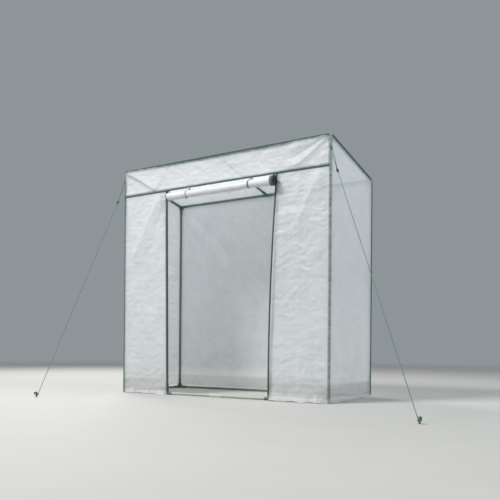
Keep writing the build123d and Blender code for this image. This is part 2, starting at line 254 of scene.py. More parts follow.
def lumps(x, y, size, seed):
    """Smooth random heights of about -1 to 1 over a surface, with lumps of about one size."""
    turns = np.random.default_rng(seed).uniform(0, 2 * pi, (97, 97))
    x, y = np.asarray(x) / size, np.asarray(y) / size
    column, row = np.floor(x).astype(int), np.floor(y).astype(int)
    total = 0
    for right, above in ((0, 0), (0, 1), (1, 0), (1, 1)):
        angle = turns[(column + right) % 97, (row + above) % 97]
        dx, dy = x - column - right, y - row - above
        nearness = ease(1 - np.abs(dx)) * ease(1 - np.abs(dy))
        total = total + nearness * (dx * np.cos(angle) + dy * np.sin(angle))
    return 1.5 * total


def crumple(x, y, seed):
    """Heights of creased film in metres: sharp crests and soft hollows, in several sizes."""
    wander_x = x + 0.05 * lumps(x, y, 0.2, seed)
    wander_y = y + 0.05 * lumps(x, y, 0.2, seed + 1)
    level = np.abs(lumps(wander_x * 0.5, wander_y, 0.1, seed + 2))
    slanting = np.abs(lumps(wander_x + wander_y, (wander_x - wander_y) * 0.45, 0.13, seed + 3))
    counter = np.abs(lumps((wander_x + wander_y) * 0.5, wander_x - wander_y, 0.09, seed + 4))
    small = np.abs(lumps(x, y, 0.05, seed + 5)) - np.abs(lumps(x, y, 0.04, seed + 6))
    ripples = lumps(wander_x * 0.28, wander_y, 0.036, seed + 8)
    patch = 0.75 + 0.6 * lumps(x, y, 0.45, seed + 7)
    return patch * (0.006 * level - 0.007 * slanting + 0.004 * counter + 0.0028 * small + 0.0014 * ripples)


def crease(x, y, line, height, near=0.02, far=0.07, dies=0.35):
    """A fold along a line of points: near on its left, far on its right, and dying towards its end."""
    line = np.array(line, float)
    lengths = np.hypot(*(line[1:] - line[:-1]).T)
    best = np.full(np.shape(x), 9.0)
    side, run = np.zeros(np.shape(x)), np.zeros(np.shape(x))
    for start, end, length, before in zip(line, line[1:], lengths, np.cumsum(lengths) - lengths):
        way = (end - start) / length
        along = (x - start[0]) * way[0] + (y - start[1]) * way[1]
        across = (y - start[1]) * way[0] - (x - start[0]) * way[1]
        held = np.clip(along, 0, length)
        apart = np.hypot(along - held, across)
        closer = apart < best
        best = np.where(closer, apart, best)
        side = np.where(closer, across, side)
        run = np.where(closer, before + held, run)
    share = run / lengths.sum()
    reach = np.where(side > 0, near, far)
    return height * ease(share / 0.08) * ease((1 - share) / dies) * np.exp(-best / reach)


def creased(out, x, y, rows):
    """A relief with creases added, each given as its line and its shape."""
    for line, *shape in rows:
        out = out + crease(x, y, line, *shape)
    return out


def rippled(out, x, y, lines, height, near, far):
    """A relief with a short ripple along each line, out and in by turns."""
    for number, line in enumerate(lines):
        out = out + (-0.8) ** (number % 2) * crease(x, y, line, height, near, far, 0.5)
    return out


def handling_creases(x, y, count, seed):
    """Short creases all over a sheet, sharp on one side, from folding and handling."""
    chance = np.random.default_rng(seed)
    low, high = np.array((x.min(), y.min())), np.array((x.max(), y.max()))
    total = 0
    for number in range(count):
        start = chance.uniform(low, high)
        turn = chance.choice((0.0, 0.35, -0.45, 1.0, -1.1, 1.5)) + chance.normal(0, 0.16)
        way = np.array((cos(turn), sin(turn))) * chance.uniform(0.08, 0.34)
        bent = start + 0.5 * way + chance.normal(0, 0.008, 2)
        sharp, soft = chance.uniform(0.006, 0.011), chance.uniform(0.018, 0.05)
        near, far = (sharp, soft) if number % 2 else (soft, sharp)
        height = chance.choice((1, -0.8)) * chance.uniform(0.001, 0.003)
        total = total + crease(x, y, [start, bent, start + way], height, near, far, 0.5)
    return total


def packing_folds(x, y, places_x, places_y, height, seed):
    """The straight folds of a packed sheet, out and in by turns."""
    total = 0
    for across, along, places, first in ((x, y, places_x, seed), (y, x, places_y, seed + 20)):
        for number, place in enumerate(places):
            apart = np.abs(across - place + 0.004 * lumps(along, along, 0.4, first + number))
            total = total + (-1) ** number * height * np.exp(-apart / 0.022)
    return total


def hem_sway(run, height, seed, kick, tuck=0.018):
    """How far the loose foot of a wall stands out: drawn in above the rail, kicked out at the soil."""
    drawn = -tuck * (0.75 + 0.6 * lumps(run, run, 0.4, seed)) * np.exp(-(((height - 0.125) / 0.055) ** 2))
    uneven = 0.6 + 0.55 * lumps(run, run, 0.13, seed + 1) + 0.22 * lumps(run, run, 0.05, seed + 2)
    return drawn + kick * np.clip(uneven, 0.12, 1.5) * np.exp(-height / 0.042)


def hem_lift(run, height, seed):
    """How far the lower edge of a wall has ridden up from the ground."""
    return 0.007 * np.clip(0.8 + lumps(run, run, 0.17, seed), 0.06, None) * np.exp(-height / 0.02)


def puckers(along, across, gap, seed):
    """Small puckers that a seam draws in the film beside it, dying with the gap."""
    return 0.0012 * lumps(along * 3, across, 0.07, seed) * np.exp(-gap / 0.03) * ease(gap / 0.01)


def on_tube(apart, seed, run, width=0.0135):
    """How much painted shade a tube lays on the film at a distance from its axis: 1 on it, 0 past it."""
    pressed = ease((width - np.abs(apart)) / 0.0075) * (0.62 + 0.15 * lumps(run, run, 0.06, seed))
    patchy = 0.25 + 0.35 * lumps(run * 2, run, 0.03, seed + 1)
    return pressed + np.clip(ease((0.45 * width - np.abs(apart)) / 0.003) * patchy, 0, 1)


def over_tubes(out, tubes):
    """A sheet's displacement held outside the sockets on its tubes, and the tubes' painted shade."""
    socket = socket_r + 0.0012
    shown = 0
    for apart, strength, *drawn in tubes:
        reach = np.sqrt(np.clip(socket ** 2 - np.square(apart), 0, None))
        out = np.maximum(out, np.where(reach > 0, reach, -1) - skin)
        if strength:
            shown = np.maximum(shown, strength * on_tube(apart, *drawn))
    return out, shown


def off_half(tree, value):
    """How far a value is from a half."""
    return work_out(tree, "ABSOLUTE", work_out(tree, "SUBTRACT", value, 0.5))


def rest_of(tree, share):
    """One less a share."""
    return work_out(tree, "SUBTRACT", 1.0, share)


cells_per_metre = 110.0


def net_film(name, sheer=1.0, white=0.0):
    """White net-reinforced film that passes some light, with painted grey-green shade over its tubes."""
    material, tree, place = blank_material(name)
    flat = shade(tree, "UVMap", uv_map="flat")
    cells = split(tree, shade(tree, "VectorMath", {0: flat, 3: cells_per_metre}, operation="SCALE"))
    threads = [off_half(tree, work_out(tree, "FRACT", cells[way])) for way in ("X", "Y")]
    net = work_out(tree, "MAXIMUM", *(span(tree, apart, 0.43, 0.475) for apart in threads))
    clouds, specks = mottle(tree, place, 0.16, 4.0), mottle(tree, place, 0.03, 6.0)
    height = split(tree, place)["Z"]
    splashed = times(tree, span(tree, height, 0.16, 0.0), span(tree, specks, 0.35, 0.75))
    # Painted shade: a greyish brown band low on the walls, where the foot of the film is drawn in above the
    # rail.
    painted_shade_band = times(tree, span(tree, height, 0.145, 0.115), span(tree, height, 0.03, 0.045))
    # Painted highlight: the lowest few centimetres of the film are whitened, where its foot turns out to the
    # light.
    painted_foot_highlight = span(tree, height, 0.036, 0.026)
    # Painted shade: over each tube behind it, the film's outer face is painted grey-green, for the tube's
    # shadow and for the tube seen through, and it passes less light there.
    inside = shade(tree, "NewGeometry", output="Backfacing")
    painted_tube_shade = shade(tree, "Attribute", output="Fac", attribute_name="painted_tube_shade")
    outside_tube_shade = times(tree, painted_tube_shade, rest_of(tree, inside))
    colour = mix(tree, clouds, (0.67, 0.71, 0.73, 1), (0.85, 0.865, 0.875, 1))
    for layer, share, tint in (
        (white, 1.0, (0.93, 0.935, 0.93, 1)),
        (net, 0.45, (0.88, 0.89, 0.9, 1)),
        (painted_shade_band, 0.45, (0.46, 0.42, 0.41, 1)),
        (splashed, 0.3, (0.34, 0.29, 0.24, 1)),
        (painted_foot_highlight, 0.75, (0.95, 0.945, 0.935, 1)),
        (outside_tube_shade, 0.95, (0.055, 0.125, 0.095, 1)),
    ):
        colour = mix(tree, times(tree, layer, share), colour, tint)
    bump = relief(tree, mottle(tree, place, 0.025, 3.0), 0.0028, 0.6)
    for size, depth, stretch in (
        (0.16, 0.018, (1, 1, 2.2)),
        (0.07, 0.006, (1.8, 1.8, 1)),
        (0.035, 0.002, None),
    ):
        bump = relief(tree, off_half(tree, mottle(tree, place, size, 1.5, stretch)), depth, 0.8, bump)
    bump = relief(tree, net, 0.00022, 0.8, bump)
    rough = span(tree, specks, 0.3, 0.7, 0.36, 0.5)
    sockets = {"Base Color": colour, "Roughness": rough, "Specular IOR Level": 0.42, "Normal": bump}
    front = shade(tree, "BsdfPrincipled", sockets)
    through = shade(tree, "BsdfTranslucent", {"Color": colour, "Normal": bump})
    clear = shade(tree, "BsdfTransparent")
    lit = times(tree, rest_of(tree, outside_tube_shade), 0.36 * sheer)
    film = shade(tree, "MixShader", {0: lit, 1: front, 2: through})
    seen = times(tree, rest_of(tree, net), 0.24 * sheer)
    finish_with(tree, shade(tree, "MixShader", {0: seen, 1: film, 2: clear}))
    return material


cover_film = net_film("white_net_film")


def put_on(piece, material, slot, *replaced):
    """Give a piece its finish, and let it ride along in the place of CAD nodes. Its slot is not used."""
    if material:
        piece.data.materials.append(material)
    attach(piece, "root")
    if replaced:
        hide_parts(*replaced)


def cells_of(grid):
    """The four corners of each cell of a grid, in order round it."""
    return np.stack([grid[:-1, :-1], grid[:-1, 1:], grid[1:, 1:], grid[1:, :-1]], 2)


def film_sheet(name, places, runs, heights, painted_tube_shade, replaced, keep=None, flip=False, film=None, **said):
    """A single sheet from a grid of points, its flat coordinates, and the painted shade of its tubes."""
    rows, columns = places.shape[:2]
    quads = cells_of(np.arange(rows * columns).reshape(rows, columns))
    quads = quads.reshape(-1, 4) if keep is None else quads[keep]
    used, quads = np.unique(quads[:, ::-1] if flip else quads, return_inverse=True)
    quads = quads.reshape(-1, 4)
    mesh = bpy.data.meshes.new(name)
    mesh.from_pydata(places.reshape(-1, 3)[used], [], quads)
    flat = np.stack([runs.ravel()[used], heights.ravel()[used]], -1)
    mesh.uv_layers.new(name="flat").data.foreach_set("uv", flat[quads.ravel()].ravel())
    shadow = mesh.attributes.new("painted_tube_shade", "FLOAT", "POINT")
    shadow.data.foreach_set("value", np.clip(painted_tube_shade.ravel()[used], 0, 1).astype(np.float32))
    mesh.shade_smooth()
    piece = placed(name, mesh)
    put_on(piece, film or cover_film, "film", *replaced)
    return piece


def door_edge(side, height):
    """Where the free film edge beside the door stands at a height: it leans, and bows inwards."""
    foot, lean, bow = door_edges[side]
    share = np.clip(height / lintel_z, 0, 1)
    return foot + lean * share - 4 * bow * share * (1 - share)


def door_post(side, height):
    """How far from the middle the straight post behind the film's edge stands."""
    foot, lean = door_edges[side][:2]
    return side * foot + post_set_back + side * lean * np.clip(height / lintel_z, 0, 1)


def wall_sheet(side, hand, folds, seed, post_shows, post_strip, door_post_shows, front_kick):
    """One side of the cover in one sheet: from the door's edge, round the corner post, to the back."""
    low_rows = steps(0, lintel_z)
    high_rows = np.linspace(0, 1, 28)[1:]
    front, along = steps(0, 0.5)[:-1] / 0.5, steps(0, rear_y)[1:]
    bend = np.linspace(0, pi / 2, 7)
    turned = np.concatenate([0 * front, bend, 0 * along + pi / 2])
    is_front = np.arange(len(turned)) < len(front)
    edge = door_edge(side, np.concatenate([low_rows, 0 * high_rows + lintel_z]))[:, None]
    to_corner = np.concatenate([front, 0 * bend, 0 * along])
    to_back = np.concatenate([0 * front, 0 * bend, along])
    out_x, out_y = side * np.sin(turned), np.where(to_back > 0, 0, -np.cos(turned))
    x = np.where(is_front, edge + (side * post_x - edge) * to_corner, side * (post_x + skin * np.sin(turned)))
    y = skin * out_y + to_back
    top = roof_height(y)
    z = np.concatenate([low_rows[:, None] + 0 * y, lintel_z + (top - lintel_z) * high_rows[:, None]])
    run = np.where(is_front, side * x - post_x, skin * turned + to_back)
    bend_end = skin * pi / 2
    to_door, to_rear = side * x - side * edge, back_y + bend_end - run
    to_side = np.where(is_front, np.minimum(-run, to_door), np.minimum(run, to_rear))
    to_top = np.where(is_front, lintel_z - z, top - z)
    slack = ease(to_side / 0.06) * ease(to_top / 0.06)
    out = slack * (crumple(run, z, seed) + folds(run, z) + handling_creases(run, z, 90, seed + 9) - 0.004)
    out = out - 0.01 * slack * ease(np.abs(to_side) / 0.35) * (0.6 + 0.5 * lumps(run, z, 0.6, seed + 30))
    loose_foot = ease(np.abs(run - bend_end / 2) / 0.12) * ease(to_side / 0.05)
    out = out + hem_sway(run, z, seed + 40, np.where(is_front, front_kick, 0.045)) * loose_foot
    out = out + puckers(z, run, np.abs(to_side), seed + 50)
    out, painted_tube_shade = over_tubes(out, [
        (run - np.clip(run, 0, bend_end), post_shows, seed, z, post_strip),
        (run - bend_end - back_y, 1, seed + 1, z),
        (z - ground_z, 0),
        (np.where(is_front, 1, (top - z) * cos(pitch) - skin), 1, seed + 3, run),
        (np.where(is_front, z - lintel_z, 1), 1, seed + 4, run),
        (np.where(is_front, side * x - door_post(side, z), 1), door_post_shows, seed + 5, z),
    ])
    places = np.stack([x + out * out_x, y + out * out_y, z + hem_lift(run, z, seed + 60) * loose_foot], -1)
    keep = np.ones((len(z) - 1, len(turned) - 1), bool)
    keep[len(low_rows) - 1:, :len(front)] = False
    half_way_up = 0.85
    front_width = post_x - abs(door_edge(side, half_way_up))
    side_width = bend_end + back_y + skin
    corner_top = top[len(front)]
    replaced = ["front_panel_" + hand, hand + "_side_panel", "front_corner_films"]
    film_sheet(
        hand + "_wall_film", places, run, places[..., 2], painted_tube_shade, replaced, keep, flip=side < 0,
        flat=(front_width + bend_end + back_y + skin, corner_top), held="stretched",
        area=front_width * lintel_z + side_width * (corner_top + top[-1]) / 2,
        rests_on=["front_" + hand + "_post", "back_ground_rail"])


# Where each wall was folded in its pack, along it and up it, and how far the folds stand out.
wall_packing = ((-0.24, 0.26, 0.52), (0.42, 0.76, 1.1, 1.44), 0.0028)


def right_folds(run, z):
    """Creases of the right wall: level ones by the door, and one across the side."""
    total = creased(0, run, z, [
        ([(-0.5, 1.283), (-0.235, 1.37), (-0.01, 1.53)], 0.006, 0.05, 0.09),
        ([(-0.05, 1.7), (-0.197, 1.443), (-0.3, 1.15)], 0.016, 0.09, 0.05, 0.4),
    ])
    lines = []
    for number, level in enumerate((1.63, 1.575, 1.515, 1.45, 1.39, 1.31, 1.235)):
        left, right = -0.47 + 0.013 * (number % 3), -0.14 - 0.03 * (number % 2)
        lines.append([(left, level), (-0.31, level + 0.006), (right, level - 0.004 + 0.03 * (number % 2))])
    total = rippled(total, run, z, lines, 0.0036, 0.01, 0.028)
    total = creased(total, run, z, [
        ([(0.22, 1.629), (0.45, 1.69), (0.72, 1.76)], 0.004, 0.012, 0.09),
        ([(-0.44, 0.62), (-0.2, 0.9), (-0.03, 1.3)], 0.004, 0.03, 0.12),
    ])
    return total + packing_folds(run, z, *wall_packing, 5)


def left_folds(run, z):
    """Creases of the left wall: a broad fold falls from the head of the door post to the corner."""
    total = creased(0, run, z, [
        ([(-0.43, 1.68), (-0.27, 1.433), (-0.07, 1.1)], 0.034, 0.06, 0.17, 0.2),
        ([(-0.43, 1.56), (-0.33, 1.33), (-0.17, 0.98)], -0.012, 0.09, 0.09, 0.3),
        ([(-0.05, 0.9), (-0.2, 0.62), (-0.42, 0.4)], 0.005, 0.03, 0.05),
        ([(0.1, 1.7), (0.4, 1.35), (0.7, 1.2)], 0.006, 0.02, 0.08),
    ])
    return total + packing_folds(run, z, *wall_packing, 35)


# How strongly each post's painted shade is laid on the wall and how wide it is, for the corner post and the
# door post.
wall_sheet(1, "right", right_folds, 101,
           post_shows=0.72, post_strip=0.0065, door_post_shows=0.2, front_kick=0.085)
wall_sheet(-1, "left", left_folds, 202,
           post_shows=1.6, post_strip=0.017, door_post_shows=0.5, front_kick=0.06)


# Fascia: the strip over the door between the lintel seam and the ridge, stretched from corner to
# corner. It is a little too long for the frame, so folds fan out from both upper corners.
fascia_top = roof_height(-skin)
upward = np.linspace(0, 1, 30)[:, None]
x, z = np.meshgrid(steps(-post_x, post_x), lintel_z + (fascia_top - lintel_z) * upward)
to_post = post_x - np.abs(x)
to_edge = np.minimum(to_post, np.minimum(z - lintel_z, fascia_top - z))
out = 0.55 * crumple(x, z, 301) - 0.006 * np.sin(pi * upward) + 0.003 * lumps(x, z, 0.4, 302)
out = creased(out + handling_creases(x, z, 26, 306), x, z, [
    ([(-0.975, 1.913), (-0.771, 1.805), (-0.6, 1.697)], 0.019, 0.1, 0.013, 0.12),
    ([(-0.965, 1.805), (-0.935, 1.8), (-0.909, 1.777), (-0.893, 1.715)], -0.007, 0.012, 0.022),
    ([(0.975, 1.915), (0.863, 1.835), (0.741, 1.75), (0.56, 1.715)], 0.016, 0.02, 0.055),
    ([(0.975, 1.915), (0.8, 1.845), (0.62, 1.775)], -0.011, 0.03, 0.03),
    ([(0.975, 1.918), (0.822, 1.875), (0.58, 1.85)], 0.01, 0.02, 0.06),
    ([(0.975, 1.9), (0.93, 1.8), (0.9, 1.72)], 0.004, 0.02, 0.03),
])
out, painted_tube_shade = over_tubes(out * ease(to_edge / 0.03), [
    (z - lintel_z, 1, 303, x), (z - ridge_z, 1, 304, x), (to_post, 1, 305, z)])
film_sheet("fascia_film", np.stack([x, -skin - out, z], -1), x, z, painted_tube_shade, ["front_fascia"],
           flat=(2 * post_x, fascia_top - lintel_z), held="stretched", rests_on=["ridge_rail", "lintel_rail"])


# Back: the widest panel of the cover, of the same net-reinforced film, sewn along the eave and both
# back corners. No tube crosses it between its posts, so it bellies out and creases most.
back_top = roof_height(rear_y)
x, z = np.meshgrid(steps(-side_x, side_x), steps(0, back_top))
to_post, to_top = side_x - np.abs(x), back_top - z
slack = ease(to_post / 0.22) * ease(to_top / 0.14)
belly = 0.024 * ease(to_post / 0.7) * np.sin(pi * np.clip(z / back_top, 0, 1)) ** 0.6
out = 1.4 * crumple(x, z, 401) - belly
out = out + packing_folds(x, z, (-0.66, -0.33, 0.0, 0.33, 0.66), (0.35, 0.7, 1.05, 1.4), 0.0026, 410)
out = out + handling_creases(x, z, 130, 411)
out = creased(out, x, z, [([(0.5, 1.7), (0.07, 1.665), (-0.35, 1.64)], 0.034, 0.06, 0.025, 0.2)])
out = rippled(out, x, z, [
    [(-0.46 + 0.02 * number, level), (-0.38, level + 0.008), (-0.22 + 0.015 * number, level - 0.003)]
    for number, level in enumerate((1.6, 1.565, 1.535, 1.5, 1.47))], 0.009, 0.012, 0.02)
out = creased(out, x, z, [
    ([(0.86, 1.68), (0.5, 1.5), (0.05, 1.38)], 0.02, 0.03, 0.12),
    ([(-0.88, 1.68), (-0.6, 1.45), (-0.3, 1.1)], 0.024, 0.12, 0.03),
    ([(-0.93, 0.1), (-0.6, 0.35), (-0.2, 0.5)], 0.02, 0.03, 0.1),
    ([(0.93, 0.1), (0.55, 0.3), (0.3, 0.62)], 0.022, 0.1, 0.03),
])
out = slack * (out + 0.014 * lumps(x, 0.6 * z, 0.33, 412))
out = out + hem_sway(x, z, 420, kick=0.012) * ease(to_post / 0.1)
out, painted_tube_shade = over_tubes(out + puckers(z, x, to_post, 421), [
    (np.abs(x) - post_x, 1, 430, z, 0.01), (z - ground_z, 0.25, 431, x), (z - eave_z, 1, 432, x, 0.01)])
places = np.stack([x, rear_y + out, z + hem_lift(x, z, 422)], -1)
film_sheet("back_film", places, x, z, painted_tube_shade, ["back_panel"], flip=True, flat=(2 * side_x, back_top),
           held="stretched", rests_on=["eave_rail", "back_ground_rail"])


# Roof: one panel over the three rafters, which stand up through it as ribs while the film between
# them sags. Its front corners are rounded like the film that wraps the front posts.
x, y = np.meshgrid(steps(-side_x, side_x), steps(-skin, rear_y))
past_x, past_y = np.clip(np.abs(x) - post_x, 0, None), np.clip(-y, 0, None)
shortened = np.maximum(past_x, past_y) / np.hypot(past_x, past_y + 1e-9)
rounding = np.where((past_x > 0) & (past_y > 0), shortened, 1)
rim = np.minimum(side_x - np.abs(x), np.minimum(y + skin, rear_y - y))
sag = np.abs(np.sin(pi * x / post_x)) ** 0.7
sag = -0.014 * sag * np.sin(pi * np.clip((y + skin) / (back_y + 2 * skin), 0, 1)) ** 0.7
out = sag + (crumple(x, y, 501) + packing_folds(x, y, (-0.6, -0.3, 0.3, 0.6), (0.2, 0.45), 0.0018, 510))
out = creased(out + handling_creases(x, y, 50, 511), x, y, [
    ([(0.05, 0.02), (0.35, 0.3), (0.6, 0.7)], 0.006, 0.03, 0.06),
    ([(-0.95, 0.03), (-0.6, 0.3), (-0.25, 0.5)], 0.006, 0.03, 0.06),
])
out, painted_tube_shade = over_tubes(out * ease(rim / 0.05) * ease((np.abs(x) + 0.012) / 0.04), [
    (x, 1, 530, y), (np.abs(x) - post_x, 1, 531, y), (y, 1, 532, x), (y - back_y, 1, 533, x)])
flat_y = np.where(rounding < 1, -past_y * rounding, y)
flat_x = np.where(rounding < 1, np.sign(x) * (post_x + past_x * rounding), x)
places = np.stack([flat_x, flat_y + out * sin(pitch), roof_height(flat_y) + out * cos(pitch)], -1)
film_sheet("roof_film", places, x, y, painted_tube_shade, ["roof_panel"], held="stretched",
           flat=(2 * side_x, (back_y + 2 * skin) / cos(pitch)),
           rests_on=["ridge_rail", "middle_rafter", "eave_rail"])


# Bindings: dark green woven tape, folded over each seam and free edge of the film and sewn through.
# The tapes stop a little short of the upper corners, where the film shows round the connector.
def woven_tape(name, dark, light):
    """Plain-woven tape with ribs across it, faded in patches."""
    material, tree, place = blank_material(name)
    flat = shade(tree, "UVMap", uv_map="flat")
    sockets = {"Vector": flat, "Scale": 260.0, "Distortion": 0.6}
    ribs = [shade(tree, "TexWave", sockets, "Fac", bands_direction=way) for way in "XY"]
    weave = times(tree, *ribs)
    faded = mottle(tree, place, 0.05, 4.0)
    colour = mix(tree, times(tree, weave, 0.35), mix(tree, faded, dark, light), light)
    rough = span(tree, faded, 0.3, 0.7, 0.62, 0.8)
    return coated(material, colour, rough, relief(tree, weave, 0.0004, 0.8), sheen=0.25)


def swept_mesh(sections, closed=False):
    """A closed skin through rings of points, with filled ends, or joined end to end."""
    sections = np.asarray(sections, float)
    count, ring = sections.shape[:2]
    numbers = np.arange(count * ring).reshape(count, ring)
    laps = []
    for grid in (numbers, sections):
        grid = np.concatenate([grid, grid[:1]]) if closed else grid
        laps.append(np.concatenate([grid, grid[:, :1]], 1))
    lap, laid = laps
    run = np.cumsum(np.linalg.norm(np.diff(laid.mean(1), axis=0, prepend=laid[:1].mean(1)), axis=1))
    girth = np.cumsum(np.linalg.norm(np.diff(laid, axis=1, prepend=laid[:, :1]), axis=2), axis=1)
    corners = cells_of(np.stack([np.repeat(run[:, None], ring + 1, 1), girth], -1)).reshape(-1, 2)
    faces = cells_of(lap).reshape(-1, 4).tolist()
    if not closed:
        faces += [numbers[0].tolist(), numbers[-1].tolist()]
        corners = np.concatenate([corners, np.zeros((2 * ring, 2))])
    mesh = bpy.data.meshes.new("swept")
    mesh.from_pydata(sections.reshape(-1, 3), [], faces)
    mesh.uv_layers.new(name="flat").data.foreach_set("uv", corners.ravel())
    shell = bmesh.new()
    shell.from_mesh(mesh)
    bmesh.ops.recalc_face_normals(shell, faces=shell.faces)
    shell.to_mesh(mesh)
    shell.free()
    mesh.shade_smooth()
    return mesh


def put_together(name, meshes, material, slot, *replaced):
    """One piece from several meshes, put on."""
    whole = bmesh.new()
    for mesh in meshes:
        whole.from_mesh(mesh)
    result = bpy.data.meshes.new(name)
    whole.to_mesh(result)
    whole.free()
    put_on(placed(name, result), material, slot, *replaced)


tape_cloth = woven_tape("green_woven_tape", (0.02, 0.055, 0.04, 1), (0.045, 0.1, 0.075, 1))
tape_width = 0.013
tape_half = 0.00065
tape_lift = 0.0012
tape_step = 0.012
lowest_stitch = 0.004
stitch_rows = []


def folded_tape(start, end, leg_a, leg_b, seed):
    """A tape along a straight seam, folded over it with one leg down each face."""
    start, end = Vector(start), Vector(end)
    leg_a, leg_b = Vector(leg_a).normalized(), Vector(leg_b).normalized()
    middle_out = -(leg_a + leg_b) / sin(leg_a.angle(leg_b))
    count = round((end - start).length / tape_step)
    sections, rows = [], [[], []]
    for number in range(count + 1):
        place = start.lerp(end, number / count)
        wave = 0.0006 * lumps(number * 0.31, seed * 0.7, 1.0, seed)
        width = tape_width + 0.0012 * lumps(number * 0.17, seed * 1.3, 1.0, seed + 1)
        ring = []
        for lift, order in ((tape_lift + tape_half + wave, 1), (tape_lift - tape_half + wave, -1)):
            corner = place + middle_out * lift
            down, away = ([corner + leg * width, corner + leg * width * 0.6, corner + leg * 0.0025]
                          for leg in (leg_a, leg_b))
            ring += [*down, corner + (leg_a + leg_b) * 0.0006, *away[::-1]][::order]
        sections.append(ring)
        for row, leg in zip(rows, (leg_a, leg_b)):
            row.append(place + middle_out * (tape_lift + tape_half + wave + 0.0001) + leg * 0.0085)
            row[-1].z = max(row[-1].z, lowest_stitch)
    stitch_rows.extend(rows)
    return swept_mesh(sections)


roof_down = (0, cos(pitch), -sin(pitch))
roof_up = (0, -cos(pitch), sin(pitch))
roof_inward = (0, -sin(pitch), -cos(pitch))
stop = 0.02
tape_end = side_x - stop
for name, y, onto_roof, seed in (("ridge", -skin, roof_down, 11), ("eave", rear_y, roof_up, 12)):
    height = roof_height(y)
    tape = folded_tape((-tape_end, y, height), (tape_end, y, height), (0, 0, -1), onto_roof, seed)
    put_together(name + "_tape", [tape], tape_cloth, "binding", name + "_binding")
gable_tapes, corner_tapes = [], []
first, last = -skin + stop, rear_y - stop
for side in (1, -1):
    outside, inward = side * side_x, (-side, 0, 0)
    gable_tapes.append(folded_tape((outside, first, roof_height(first)), (outside, last, roof_height(last)),
                                   inward, roof_inward, 13 + side))
    corner_tapes.append(folded_tape((outside, rear_y, 0.001), (outside, rear_y, roof_height(rear_y) - stop),
                                    inward, (0, -1, 0), 17 + side))
put_together("gable_tapes", gable_tapes, tape_cloth, "binding", "gable_bindings")
put_together("back_corner_tapes", corner_tapes, tape_cloth, "binding", "back_corner_bindings")


def seam_height(x):
    """The lintel seam, which dips a little towards its right end and wavers."""
    dips = 0.005 + 0.004 * ease((x - 0.72) / 0.2) + 0.003 * ease((-0.1 - x) / 0.6)
    return lintel_z - dips + 0.0012 * lumps(x, 0.3 + 0 * x, 0.22, 61)


seam_places = np.linspace(-post_x, post_x, round(2 * post_x / tape_step) + 1)
seam_profile = [(-0.007, 0.0002), (-0.0066, 0.001), (-0.003, 0.0016), (0.003, 0.0016), (0.0066, 0.001),
                (0.007, 0.0002), (0.0, -0.0004)]
sections = []
for x in seam_places:
    puff = 1 + 0.25 * lumps(x, 0.5, 0.03, 62)
    height = seam_height(x)
    sections.append([(x, -skin - 0.0012 - out * puff, height + rise) for rise, out in seam_profile])
for offset in (-0.0048, 0.0048):
    stitch_rows.append([Vector((x, -skin - 0.0027, seam_height(x) + offset)) for x in seam_places])
put_together("lintel_tape", [swept_mesh(sections)], tape_cloth, "binding", "lintel_binding")

door_tape_profile = [(0.013, 0.0012), (0.006, 0.0015), (0.0005, 0.0013), (-0.0012, 0.0), (0.0005, -0.0013),
                     (0.006, -0.0015), (0.013, -0.0012), (0.013, -0.0005), (0.001, -0.0004), (0.0001, 0.0),
                     (0.001, 0.0004), (0.013, 0.0005)]
door_tapes = []
for side in (-1, 1):
    sections, row = [], []
    for height in np.linspace(0.001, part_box("door_edge_bindings")[1].z, 150):
        edge = door_edge(side, height)
        sections.append([(edge + side * inward, -skin - out, height) for inward, out in door_tape_profile])
        row.append(Vector((edge + side * 0.0098, -skin - 0.0015, max(height, lowest_stitch))))
    door_tapes.append(swept_mesh(sections))
    stitch_rows.append(row)
put_together("door_edge_tapes", door_tapes, tape_cloth, "binding", "door_edge_bindings")


# Stitches: one row of lockstitch along each leg of the tapes, in thread a shade lighter than the
# tape. Each stitch is a short spindle lying along the seam.
thread, tree, place = blank_material("green_thread")
strands = shade(tree, "TexWave", {"Vector": place, "Scale": 900.0, "Distortion": 1.0}, "Fac")
colour = mix(tree, strands, (0.1, 0.18, 0.14, 1), (0.22, 0.34, 0.28, 1))
coated(thread, colour, 0.6, relief(tree, strands, 0.0001))
rail = bpy.data.curves.new("stitch_rails", "CURVE")
rail.dimensions = "3D"
for row in stitch_rows:
    spline = rail.splines.new("POLY")
    spline.points.add(len(row) - 1)
    for point, place in zip(spline.points, row):
        point.co = (*place, 1)
source = placed("stitch_rails", rail)
tree = bpy.data.node_groups.new("stitches_on_rails", "GeometryNodeTree")
tree.interface.new_socket("Rails", in_out="INPUT", socket_type="NodeSocketGeometry")
stitch_sizes = {"Pitch": 0.0058, "Thickness": 0.00042, "Length": 0.0021}
for label in stitch_sizes:
    tree.interface.new_socket(label, in_out="INPUT", socket_type="NodeSocketFloat")
tree.interface.new_socket("Stitches", in_out="OUTPUT", socket_type="NodeSocketGeometry")
given = tree.nodes.new("NodeGroupInput").outputs
sockets = {"Curve": given["Rails"], "Length": given["Pitch"]}
marks = wire(tree, "GeometryNodeCurveToPoints", sockets, mode="LENGTH").outputs
spindle = wire(tree, "GeometryNodeMeshIcoSphere", {"Radius": 1.0, "Subdivisions": 1}).outputs["Mesh"]
size = shade(tree, "CombineXYZ", {"X": given["Thickness"], "Y": given["Thickness"], "Z": given["Length"]})
sockets = {"Points": marks["Points"], "Instance": spindle, "Rotation": marks["Rotation"], "Scale": size}
laid = wire(tree, "GeometryNodeInstanceOnPoints", sockets).outputs[0]
real = wire(tree, "GeometryNodeRealizeInstances", {"Geometry": laid}).outputs[0]
dyed = wire(tree, "GeometryNodeSetMaterial", {"Geometry": real, "Material": thread}).outputs[0]
wire(tree, "NodeGroupOutput", {0: dyed})
worker = source.modifiers.new("stitches", "NODES")
worker.node_group = tree
for item in tree.interface.items_tree:
    if item.name in stitch_sizes:
        worker[item.identifier] = stitch_sizes[item.name]
finished = source.evaluated_get(bpy.context.evaluated_depsgraph_get())
stitches = placed("tape_stitches", bpy.data.meshes.new_from_object(finished))
bpy.data.objects.remove(source)
put_on(stitches, None, "binding")


